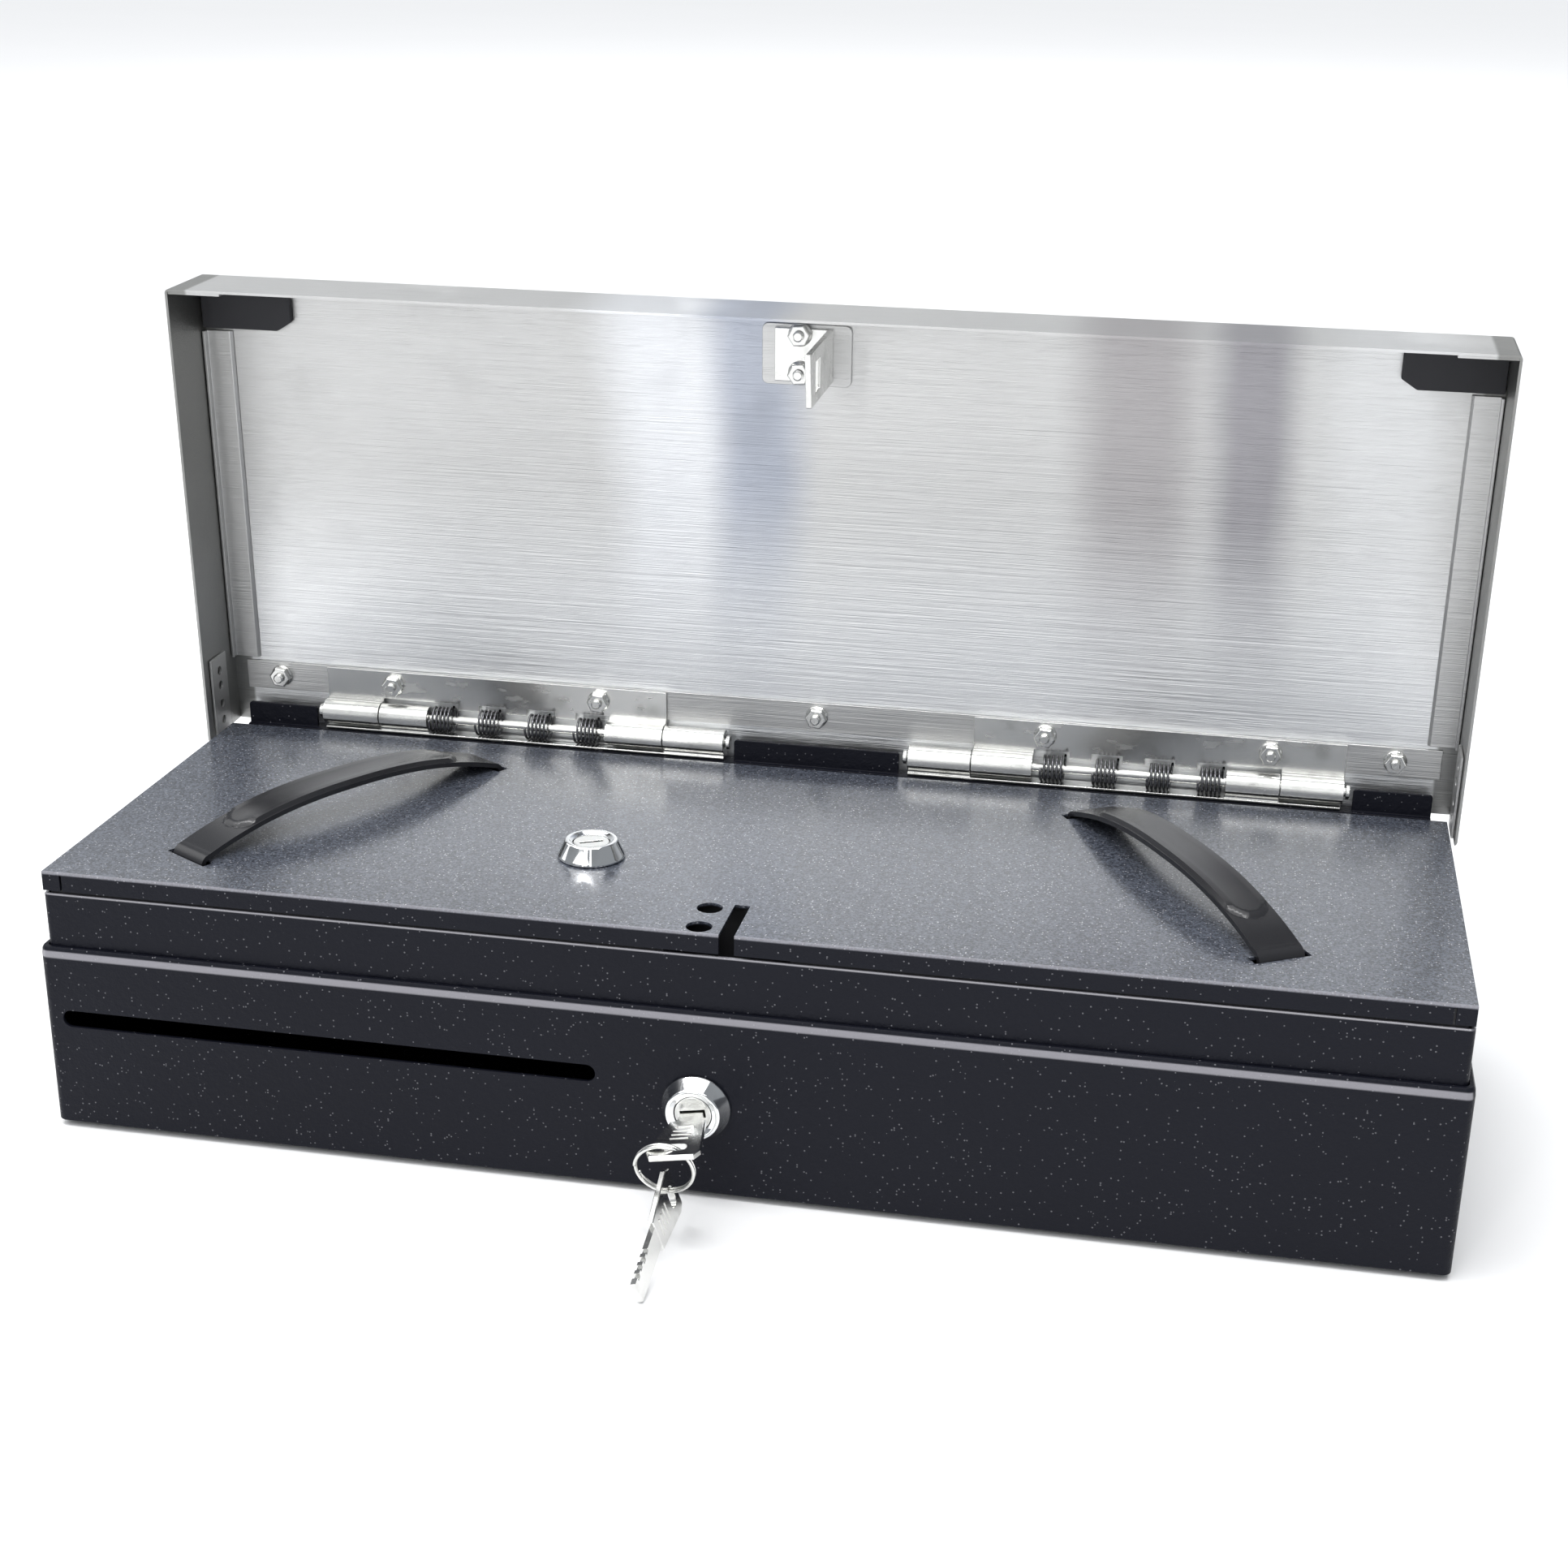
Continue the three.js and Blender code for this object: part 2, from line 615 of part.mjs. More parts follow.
// A lock cam: a hub that becomes an arm along +X, lying in XY from z = 0 down.
function lockCam(reach, width, thick) {
  const hub = rodZ(-thick, 0, 0, 0, 6.4, 24);
  const arm = block(0, reach, -width / 2, width / 2, -thick, 0);
  const screw = rodZ(-thick - 1.6, -thick / 2, 0, 0, 3.2, 14);
  return join(hub, arm, screw);
}

const FRONT_BARREL = 18;
const TRAY_BARREL = 19;
const KEY = {
  blade: 24,
  bladeWide: 7.4,
  bladeThick: 1.8,
  bow: 23,
  bowWide: 17.4,
  bowNeck: 11.6,
  bowThick: 2,
};
// Each cut in the blade: its distance from the shoulder and its depth
const KEY_CUTS = [
  [9, 0.8],
  [12.5, 1.2],
  [16, 0.8],
  [19.5, 1.2],
];
const KEY_HOLE = { wide: 8, high: 4.6, edge: 5.2 };
const KEY_OUT = 5.8;
const PLUG_FACE = LOCKS.rise - 1;

// A flat key along -Y: the blade's shoulder at y = 0, the bow towards -Y, lying in XY.
function keyBlank() {
  const { blade, bladeWide, bladeThick, bow, bowWide, bowNeck, bowThick } = KEY;
  const outline = polygon([
    [-bowNeck / 2, 0],
    [-bowWide / 2, -bow + 3],
    [-bowWide / 2 + 1.5, -bow],
    [bowWide / 2 - 1.5, -bow],
    [bowWide / 2, -bow + 3],
    [bowNeck / 2, 0],
  ]);
  const head = upright(outline, -bowThick / 2, bowThick / 2, 0.3);
  const shank = block(-bladeWide / 2, bladeWide / 2, -1, blade, -bladeThick / 2, bladeThick / 2);
  const teeth = KEY_CUTS.map(([y, depth]) => block(bladeWide / 2 - depth, 10, y, y + 2, -2, 2));
  const hole = upright(capsule(KEY_HOLE.wide, KEY_HOLE.high), -2, 2);
  hole.translate(0, -bow + KEY_HOLE.edge, 0);
  return cut(join(head, shank), hole, ...teeth);
}

// ---- Key ring and spare key ----

const RING = { radius: 9.3, wire: 0.6, x: -11.3, y: FRONT - 27.5, z: 23.5, lean: 0.22 };
const SPARE = { x: -10.6, y: FRONT - 24.8, z: 11.8, pitch: 0.235, roll: 0.25 };

// A split ring's two turns lie side by side, so its section is wider than one wire.
function keyRing() {
  const torus = new THREE.TorusGeometry(RING.radius, RING.wire, 6, 24);
  return torus.scale(1, 1, 1.9);
}

// ---- Latch ----

function latchBracket() {
  const back = FRONT + CASE_SHEET + 0.4;
  const plate = block(-32, 66, back, back + 1.5, 6, 55.5);
  const boss = rodY(back + 1, LEVER.back + 1.5, LEVER.x, LEVER.z, 3, 18);
  return cut(join(plate, boss), rodY(back - 1, back + 3, LOCK.x, LOCK.z, 9.3));
}

function latchLever() {
  const outline = polygon([
    [-8, 69.5],
    [-8, 42.5],
    [-6, 41.8],
    [8, 41.8],
    [8, 24],
    [14, 24],
    [14, 48.5],
    [2, 51.5],
    [-2, 53.5],
    [-2, 69.5],
    [5, 69.5],
    [5, 72],
    [2, 74],
    [-6, 74],
  ]);
  const body = alongY(outline, LEVER.front, LEVER.back);
  return cut(body, rodY(LEVER.front - 1, LEVER.back + 1, LEVER.x, LEVER.z, LEVER.bore, 20));
}

const SOLENOID = {
  left: 30,
  right: 62,
  front: -81.5,
  back: -50,
  low: 14,
  high: 40,
  y: -65.75,
  z: 27,
  bore: 3.5,
  rod: 3,
};

function solenoidBody() {
  const { left, right, front, back, low, high, y, z, bore } = SOLENOID;
  const yoke = block(left, right, front, back, low, high);
  const sides = [-1, 1].map((side) => {
    const edge = side > 0 ? [back - 3, back + 1] : [front - 1, front + 3];
    return block(left + 3, right - 3, ...edge, low + 4, high - 4);
  });
  return cut(yoke, ...sides, rodX(left - 1, right - 8, y, z, bore, 18));
}

function solenoidPlunger() {
  const { y, z, rod } = SOLENOID;
  return join(rodX(14.6, 46, y, z, rod, 16), rodX(14.6, 17, y, z, rod + 1, 16));
}

// ---- Assembly ----

const drawer = new THREE.Group();

const caseBody = new THREE.Group();
drawer.add(caseBody);
place(caseBody, "lower_case", lowerCase(), powderCoat());
place(caseBody, "upper_rim", upperRim(), powderCoat());
place(caseBody, "rear_hinge_rail", rearRail(), powderCoat());
place(caseBody, "cable_grommet", cableGrommet(), rubber());
FEET.forEach(([x, y], i) => {
  place(caseBody, `foot_${i + 1}`, foot(), rubber()).position.set(x, y, 0);
});

for (const [side, name] of [[-1, "left"], [1, "right"]]) {
  place(caseBody, `hinge_case_leaf_${name}`, hingeCaseLeaf(side), zinc());
  place(caseBody, `hinge_rod_${name}`, hingeRod(side), zinc());
  SPRING_CENTRES.forEach((x, i) => {
    const spring = place(caseBody, `torsion_spring_${name}_${i + 1}`, torsionSpring(), springSteel());
    spring.position.set(side * x, PIVOT_Y, PIVOT_Z);
  });
}

// The lid group turns about the hinge axis; everything in it keeps the coordinates it has when shut.
const lidTurn = new THREE.Group();
lidTurn.position.set(0, PIVOT_Y, PIVOT_Z);
lidTurn.rotation.x = -OPEN_ANGLE;
const lid = new THREE.Group();
lid.position.set(0, -PIVOT_Y, -PIVOT_Z);
lidTurn.add(lid);
drawer.add(lidTurn);

place(lid, "lid_skin", lidSkin(), stainless());
place(lid, "lid_hinge_strip", hingeStrip(), stainless());
for (const [side, name] of [[-1, "left"], [1, "right"]]) {
  place(lid, `hinge_lid_leaf_${name}`, hingeLidLeaf(side), zinc());
  place(lid, `lid_side_frame_${name}`, sideFrame(side), stainless());
  place(lid, `corner_pad_${name}`, cornerPad(side), rubber());
  place(lid, `flange_plate_${name}`, flangePlate(side), stainless());
}
STRIP_NUTS.forEach((x, i) => {
  const onLeaf = Math.abs(x) > 60 && Math.abs(x) < 190;
  const seat = (onLeaf ? LEAF_TOP - 1 : STRIP_FACE) - GAP;
  place(lid, `hinge_strip_nut_${i + 1}`, flangeNut(), zinc()).position.set(x, 66, seat);
});
place(lid, "striker_base_plate", strikerBase(), stainless());
place(lid, "striker_bracket", strikerBracket(), zinc());
STRIKER_NUTS.forEach((y, i) => {
  const nut = place(lid, `striker_nut_${i + 1}`, flangeNut(), zinc());
  nut.position.set(-8.2, y, STRIKER_BASE_FACE - 1.4 - 2 * GAP);
});

const tray = new THREE.Group();
drawer.add(tray);
place(tray, "cash_tray", cashTray(), trayPlastic());
place(tray, "coin_cups", coinCups(), trayPlastic());
place(tray, "tray_catch", trayCatch(), zinc());

const cover = new THREE.Group();
tray.add(cover);
place(cover, "tray_cover", trayCover(), powderCoat());
for (const strap of STRAPS) {
  place(cover, `strap_handle_${strap.name}`, strapHandle(strap), glossBlack());
}

const trayLock = new THREE.Group();
trayLock.position.set(TRAY_LOCK.x, TRAY_LOCK.y, COVER_TOP);
cover.add(trayLock);
place(trayLock, "tray_lock_housing", lockHousing(TRAY_BARREL), chrome());
place(trayLock, "tray_lock_cylinder", lockPlug(TRAY_BARREL + 1, 12, 8, 1.3), nickel()).rotation.z = 0.5;
const trayCam = place(trayLock, "tray_lock_cam", lockCam(14.5, 7, 2), zinc());
trayCam.position.z = -TRAY_BARREL - 1 - GAP;
trayCam.rotation.z = Math.PI / 2;

// The front lock's own +Z points out of the front of the case.
const frontLock = new THREE.Group();
frontLock.position.set(LOCK.x, FRONT, LOCK.z);
frontLock.rotation.x = Math.PI / 2;
caseBody.add(frontLock);
place(frontLock, "front_lock_housing", lockHousing(FRONT_BARREL), chrome());
const frontPlug = new THREE.Group();
frontPlug.rotation.z = KEY_ROLL;
frontLock.add(frontPlug);
place(frontPlug, "front_lock_cylinder", lockPlug(FRONT_BARREL + 0.6, KEY.blade, 8.2, 2.7), nickel());
const frontCam = place(frontLock, "front_lock_cam", lockCam(17.5, 7, 2.5), zinc());
frontCam.position.z = -FRONT_BARREL - 0.6 - GAP;
frontCam.rotation.z = -Math.PI / 2;
const frontKey = place(frontPlug, "front_key", keyBlank(), nickel());
frontKey.position.z = PLUG_FACE + KEY_OUT;
frontKey.rotation.x = -Math.PI / 2;

const ring = place(drawer, "key_ring", keyRing(), nickel());
ring.position.set(RING.x, RING.y, RING.z);
ring.rotation.x = Math.PI / 2 + RING.lean;
// The spare hangs by its bow hole, edge up, its blade leaning forward and down.
const spareTurn = new THREE.Group();
spareTurn.position.set(SPARE.x, SPARE.y, SPARE.z);
spareTurn.rotation.set(-SPARE.pitch, SPARE.roll - Math.PI / 2, Math.PI, "ZXY");
drawer.add(spareTurn);
place(spareTurn, "spare_key", keyBlank(), nickel()).position.y = KEY.bow - KEY_HOLE.edge;

place(caseBody, "latch_bracket", latchBracket(), zinc());
place(caseBody, "latch_lever", latchLever(), zinc());
place(caseBody, "solenoid_body", solenoidBody(), solenoidSteel());
place(caseBody, "solenoid_plunger", solenoidPlunger(), zinc());

export default drawer;
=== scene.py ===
import json
import math

import bmesh
import bpy
from mathutils import Matrix, Vector

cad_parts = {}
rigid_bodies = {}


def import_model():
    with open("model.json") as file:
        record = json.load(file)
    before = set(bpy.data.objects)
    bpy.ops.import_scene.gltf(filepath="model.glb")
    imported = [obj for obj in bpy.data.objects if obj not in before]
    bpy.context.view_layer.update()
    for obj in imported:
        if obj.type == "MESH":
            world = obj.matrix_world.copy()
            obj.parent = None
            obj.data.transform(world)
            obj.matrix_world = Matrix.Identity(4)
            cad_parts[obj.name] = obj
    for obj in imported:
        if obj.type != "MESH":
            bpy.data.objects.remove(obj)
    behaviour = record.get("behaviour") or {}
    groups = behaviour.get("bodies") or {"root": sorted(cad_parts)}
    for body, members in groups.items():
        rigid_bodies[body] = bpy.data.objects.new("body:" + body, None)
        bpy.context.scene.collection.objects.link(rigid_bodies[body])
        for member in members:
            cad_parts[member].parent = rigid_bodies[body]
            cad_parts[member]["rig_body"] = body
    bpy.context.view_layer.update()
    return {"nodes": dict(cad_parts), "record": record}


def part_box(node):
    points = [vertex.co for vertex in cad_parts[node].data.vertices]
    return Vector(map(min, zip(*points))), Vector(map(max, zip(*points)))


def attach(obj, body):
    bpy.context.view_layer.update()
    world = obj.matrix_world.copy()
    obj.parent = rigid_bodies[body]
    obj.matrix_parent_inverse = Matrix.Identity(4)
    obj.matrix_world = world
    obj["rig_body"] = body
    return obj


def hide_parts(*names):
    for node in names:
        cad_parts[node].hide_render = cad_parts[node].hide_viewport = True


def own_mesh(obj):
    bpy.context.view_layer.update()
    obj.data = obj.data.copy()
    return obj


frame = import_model()
nodes = frame["nodes"]
bodyOf = {name: node["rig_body"] for name, node in nodes.items()}
print("frame loaded:", len(nodes), "nodes")

mm = 0.001
floorHeight = -0.002


# camera

cameraSetup = {
    "place": (0.14435, -0.73636, 0.38859),
    "azimuth": 10.49,
    "elevation": 22.2,
    "roll": 1.05,
    "lens": 54.3,
    "shift": (-0.0087, 0.0497),
}


def makeCamera(setup):
    data = bpy.data.cameras.new("camera")
    data.lens = setup["lens"]
    data.sensor_width = 36
    data.shift_x, data.shift_y = setup["shift"]
    data.clip_start = 0.01
    camera = bpy.data.objects.new("camera", data)
    bpy.context.scene.collection.objects.link(camera)
    turn = Matrix.Rotation(math.radians(setup["azimuth"]), 4, "Z")
    tilt = Matrix.Rotation(math.radians(90 - setup["elevation"]), 4, "X")
    roll = Matrix.Rotation(math.radians(setup["roll"]), 4, "Z")
    camera.matrix_world = Matrix.Translation(setup["place"]) @ turn @ tilt @ roll
    bpy.context.scene.camera = camera


makeCamera(cameraSetup)


# finishes: a finish is one material, and a channel is a socket that takes part in sums


class Channel:
    def __init__(self, finish, socket):
        self.finish = finish
        self.socket = socket

    def maths(self, operation, first, second):
        return self.finish.add("ShaderNodeMath", {"operation": operation}, {0: first, 1: second})

    def __add__(self, other):
        return self.maths("ADD", self, other)

    def __sub__(self, other):
        return self.maths("SUBTRACT", self, other)

    def __rsub__(self, other):
        return self.maths("SUBTRACT", other, self)

    def __mul__(self, other):
        return self.maths("MULTIPLY", self, other)

    def __gt__(self, other):
        return self.maths("GREATER_THAN", self, other)

    def __lt__(self, other):
        return self.maths("LESS_THAN", self, other)

    __radd__ = __add__
    __rmul__ = __mul__


class Finish:
    def __init__(self, name, **settings):
        self.material = bpy.data.materials.new(name)
        self.material.use_nodes = True
        self.tree = self.material.node_tree
        self.shader = next(n for n in self.tree.nodes if n.type == "BSDF_PRINCIPLED")
        for word, value in settings.items():
            self.feed(word, value)
        self.place = self.add("ShaderNodeTexCoord", {}, {}, "Object")

    def feed(self, word, value):
        spaced = "".join(" " + c if c.isupper() else c for c in word).title()
        self.link(self.shader.inputs[spaced.replace("Ior", "IOR")], value)

    def link(self, socket, value):
        if isinstance(value, Channel):
            self.tree.links.new(value.socket, socket)
        elif isinstance(value, tuple) and socket.type == "RGBA" and len(value) == 3:
            socket.default_value = (*value, 1)
        else:
            socket.default_value = value

    def add(self, kind, settings, sockets, output=0):
        node = self.tree.nodes.new(kind)
        for key, value in settings.items():
            setattr(node, key, value)
        for key, value in sockets.items():
            self.link(node.inputs[key], value)
        return Channel(self, node.outputs[output])

    def stretched(self, scale, turn=(0, 0, 0), shift=(0, 0, 0)):
        return self.add(
            "ShaderNodeMapping",
            {},
            {"Vector": self.place, "Scale": scale, "Rotation": turn, "Location": shift},
        )

    def noise(self, scale, detail=2.0, rough=0.5, where=None):
        return self.add(
            "ShaderNodeTexNoise",
            {},
            {"Vector": where or self.place, "Scale": scale, "Detail": detail, "Roughness": rough},
        )

    def cells(self, scale, output):
        return self.add("ShaderNodeTexVoronoi", {}, {"Vector": self.place, "Scale": scale}, output)

    def red(self, colour):
        return self.add("ShaderNodeSeparateColor", {}, {0: colour})

    def axis(self, number):
        return self.add("ShaderNodeSeparateXYZ", {}, {0: self.place}, number)

    def away(self, value, middle):
        return self.add("ShaderNodeMath", {"operation": "ABSOLUTE"}, {0: value - middle})

    def spread(self, value, low, high, toLow=0.0, toHigh=1.0):
        return self.add(
            "ShaderNodeMapRange",
            {"clamp": True, "interpolation_type": "SMOOTHSTEP"},
            {"Value": value, "From Min": low, "From Max": high, "To Min": toLow, "To Max": toHigh},
        )

    def mixed(self, share, one, two):
        node = self.tree.nodes.new("ShaderNodeMix")
        node.data_type = "RGBA"
        for key, value in {0: share, 6: one, 7: two}.items():
            self.link(node.inputs[key], value)
        return Channel(self, node.outputs[2])

    def raised(self, height, strength, distance):
        sockets = {"Height": height, "Strength": strength, "Distance": distance}
        return self.add("ShaderNodeBump", {}, sockets)


def powderCoat(name, crown=10.0):
    coat = Finish(name, specularIorLevel=0.15, coatRoughness=0.2, coatIor=1.8)
    pebble = coat.noise(560, 2.0, 0.6)
    fine = coat.noise(1700, 1.0, 0.5)
    patch = coat.noise(9, 3.0, 0.6)
    depth, height = coat.axis(1), coat.axis(2)
    # painted highlight lines: the bend of the ledge, the top edge of the rim and the front fold of the
    # cover are painted lighter in the base colour, and these and the top of the cover get a coat gloss
    ledge = coat.spread(height, 0.0604, 0.0612) * coat.spread(height, 0.0628, 0.0634, 1.0, 0.0)
    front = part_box("lower_case")[0].y
    bendHighlight = ledge * coat.spread(depth, front + 0.0005, front + 0.0012, 1.0, 0.0)
    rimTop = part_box("upper_rim")[1].z
    lipHighlight = coat.spread(height, rimTop - 0.0006, rimTop - 0.0002)
    lipHighlight = lipHighlight * coat.spread(height, rimTop, rimTop + 0.0003, 1.0, 0.0)
    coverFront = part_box("tray_cover")[0].y
    foldHighlight = coat.spread(depth, coverFront + 0.0004, coverFront + 0.0009, 1.0, 0.0)
    # mask for the top of the cover, where a painted sheen goes
    top = coat.spread(height, crown - 0.0012, crown - 0.0004)
    # flecks in the coat; on the cover top there are more of them, as painted glints
    speckPick = coat.red(coat.cells(1300, "Color")) > 0.95 - 0.05 * top
    speckDot = coat.cells(1300, "Distance") < 0.36
    speckAndGlint = speckPick * speckDot
    dustPick = coat.red(coat.cells(60, "Color")) > 0.982
    dustDot = coat.cells(60, "Distance") < 0.018
    dust = dustPick * dustDot
    base = coat.mixed(patch, (0.0045, 0.005, 0.0092), (0.007, 0.0078, 0.0135))
    grain = coat.spread(coat.noise(1300, 2.0, 0.6), 0.42, 0.6)
    # painted sheen: the top of the cover is painted lighter, broken up by the grain
    base = coat.mixed(top * (0.25 + 0.75 * grain), base, (0.1, 0.112, 0.142))
    # flecks painted lighter as glints, brighter on the cover top
    base = coat.mixed(speckAndGlint * (0.3 + 0.6 * top), base, (0.4, 0.4, 0.43))
    # painted highlight: the lighter colour along the ledge bend, the rim lip and the cover's front fold
    base = coat.mixed(0.6 * bendHighlight + 0.5 * lipHighlight + 0.5 * foldHighlight * top, base, (0.3, 0.29, 0.33))
    base = coat.mixed(dust * 0.7, base, (0.2, 0.2, 0.21))
    coat.feed("baseColor", base)
    coat.feed("roughness", 0.34 + 0.14 * fine + 0.06 * patch - 0.12 * speckAndGlint + 0.3 * dust)
    coat.feed("coatWeight", bendHighlight + lipHighlight + top)
    bumps = 0.75 * pebble + 0.25 * fine + 0.2 * speckAndGlint
    coat.feed("normal", coat.raised(bumps, 0.8, 0.00042))
    return coat.material


def brushedSteel(name, along=(26, 2400, 2400), colour=(0.6, 0.6, 0.595), marks=1.0, rough=0.3, paintedReflections=()):
    steel = Finish(name, metallic=1.0)
    strokes = steel.noise(1, 3.0, 0.65, steel.stretched(along))
    broad = steel.noise(1, 2.0, 0.5, steel.stretched(tuple(s * 0.28 for s in along), shift=(3, 1, 2)))
    cloud = steel.noise(7, 3.0, 0.55)
    smudge = steel.spread(steel.noise(16, 4.0, 0.6), 0.56, 0.7)
    slanted = steel.stretched((520, 16, 16), turn=(0.6, 0.5, 0.9))
    scratch = steel.spread(steel.noise(1, 1.0, 0.4, slanted), 0.765, 0.79) * steel.spread(cloud, 0.5, 0.62)
    dull = tuple(c * 0.82 for c in colour)
    base = steel.mixed(0.5 * strokes + 0.4 * steel.spread(cloud, 0.35, 0.7), colour, dull)
    across = steel.axis(0) + 0.03 * (cloud - 0.5)
    # painted reflection bands: light and dark stripes across the lid stand in for the room reflected in it
    for middle, half, tint, amount in paintedReflections:
        near = steel.spread(steel.away(across, middle * mm), 0.3 * half * mm, 1.3 * half * mm, amount, 0.0)
        base = steel.mixed(near, base, tint)
    if paintedReflections:
        # painted reflection: the low part is painted light as if it reflected the room over the cover, and
        # the side flanges and the top edge are painted dark as if they reflected less of it
        height = steel.axis(2)
        base = steel.mixed(steel.spread(height, 0.12, 0.2, 0.85, 0.0), base, (0.93, 0.94, 0.95))
        side = steel.spread(steel.away(steel.axis(0), 0), 0.2215, 0.223)
        base = steel.mixed(side * 0.8, base, (0.2, 0.2, 0.19))
        base = steel.mixed(steel.spread(height, 0.2965, 0.2985) * 0.6, base, (0.26, 0.27, 0.27))
    base = steel.mixed(0.4 * marks * scratch, base, (0.9, 0.9, 0.88))
    steel.feed("baseColor", base)
    steel.feed("roughness", rough + 0.13 * strokes + 0.1 * smudge * marks - 0.07 * scratch)
    height = 0.6 * strokes + 0.4 * broad - 0.5 * marks * scratch
    steel.feed("normal", steel.raised(height, 0.85, 0.0003))
    return steel.material


def platedMetal(name, colour, rough, wear=0.5, tint=(0.5, 0.5, 0.48)):
    plate = Finish(name, metallic=1.0)
    cloud = plate.noise(90, 3.0, 0.6)
    grain = plate.noise(1600, 2.0, 0.6)
    slanted = plate.stretched((90, 900, 300), turn=(0.3, 0.8, 0.4))
    scuffs = plate.spread(plate.noise(1, 2.0, 0.5, slanted), 0.6, 0.72)
    plate.feed("baseColor", plate.mixed(wear * plate.spread(cloud, 0.5, 0.75), colour, tint))
    plate.feed("roughness", rough + 0.09 * wear * cloud + 0.12 * wear * scuffs)
    plate.feed("normal", plate.raised(grain + 0.5 * scuffs, 0.05 * wear + 0.01, 0.00008))
    return plate.material


def mouldedPlastic(name, colour, rough, grain, depth):
    plastic = Finish(name, specularIorLevel=0.5)
    texture = plastic.noise(grain, 2.0, 0.6)
    cloud = plastic.noise(30, 2.0, 0.5)
    lighter = tuple(c * 1.5 + 0.004 for c in colour)
    plastic.feed("baseColor", plastic.mixed(cloud, colour, lighter))
    plastic.feed("roughness", rough + 0.1 * cloud + 0.05 * texture)
    plastic.feed("normal", plastic.raised(texture, depth, 0.0001))
    return plastic.material


finishes = {
    "powder_coat": powderCoat("powderCoatBlack"),
    "stainless": brushedSteel("brushedStainless"),
    "zinc": platedMetal("brightZinc", (0.74, 0.74, 0.72), 0.2, 0.8),
    "spring_steel": platedMetal("darkSpringSteel", (0.16, 0.16, 0.17), 0.24, 0.6, (0.3, 0.3, 0.3)),
    "chrome": platedMetal("polishedChrome", (0.86, 0.87, 0.88), 0.05, 0.25),
    "nickel": platedMetal("satinNickel", (0.78, 0.78, 0.76), 0.16, 0.6),
    "strap_plastic": mouldedPlastic("glossyStrap", (0.012, 0.012, 0.014), 0.16, 700, 0.06),
    "rubber": mouldedPlastic("mattRubber", (0.02, 0.02, 0.023), 0.72, 1500, 0.4),
    "tray_plastic": mouldedPlastic("trayMoulding", (0.022, 0.022, 0.025), 0.42, 1100, 0.25),
    "solenoid_steel": platedMetal("pressedSteel", (0.5, 0.51, 0.53), 0.32, 0.9),
}
# painted reflection bands on the lid's base colour
lidReflectionBands = [
    # middle, half width, tint, amount
    (-56, 26, (0.86, 0.88, 0.92), 0.6),
    (-26, 17, (0.3, 0.34, 0.44), 0.62),
    (108, 24, (0.3, 0.28, 0.29), 0.66),
    (148, 15, (0.2, 0.19, 0.22), 0.66),
    (190, 22, (0.74, 0.75, 0.76), 0.5),
]
finishes["lid"] = brushedSteel("brushedLid", paintedReflections=lidReflectionBands)
finishes["cover"] = powderCoat("powderCoatCover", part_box("tray_cover")[1].z)
slotOf = {row["node"]: row["material_slot"] for row in frame["record"]["subparts"]}
for name, node in nodes.items():
    node.data.materials.clear()
    node.data.materials.append(finishes[slotOf[name]])
print("finishes made:", len(finishes))


# helpers for pieces


def newPiece(name, shape, standsFor, smooth=True):
    mesh = bpy.data.meshes.new(name)
    bmesh.ops.remove_doubles(shape, verts=shape.verts, dist=1e-7)
    bmesh.ops.recalc_face_normals(shape, faces=shape.faces)
    shape.to_mesh(mesh)
    shape.free()
    for face in mesh.polygons:
        face.use_smooth = smooth
    piece = bpy.data.objects.new(name, mesh)
    bpy.context.scene.collection.objects.link(piece)
    first = standsFor[0]
    mesh.materials.append(finishes[slotOf[first]])
    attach(piece, bodyOf[first])
    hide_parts(*standsFor)
    return piece


def roundEdges(piece, width, segments=3, limit=32):
    bevel = piece.modifiers.new("roundEdges", "BEVEL")
    bevel.width = width
    bevel.segments = segments
    bevel.limit_method = "ANGLE"
    bevel.angle_limit = math.radians(limit)
    bevel.use_clamp_overlap = True
    bevel.miter_outer = "MITER_SHARP"
    even = piece.modifiers.new("evenNormals", "WEIGHTED_NORMAL")
    even.weight = 100
    even.keep_sharp = True
    return piece


def softened(node, name, width, segments=3):
    shape = bmesh.new()
    shape.from_mesh(nodes[node].data)
    bmesh.ops.remove_doubles(shape, verts=shape.verts, dist=0.12 * mm)
    bmesh.ops.dissolve_limit(
        shape, angle_limit=math.radians(0.6), verts=shape.verts, edges=shape.edges, delimit={"NORMAL"}
    )
    return roundEdges(newPiece(name, shape, [node]), width, segments)


# sheet metal and mouldings: the solid's own shape with its edges broken

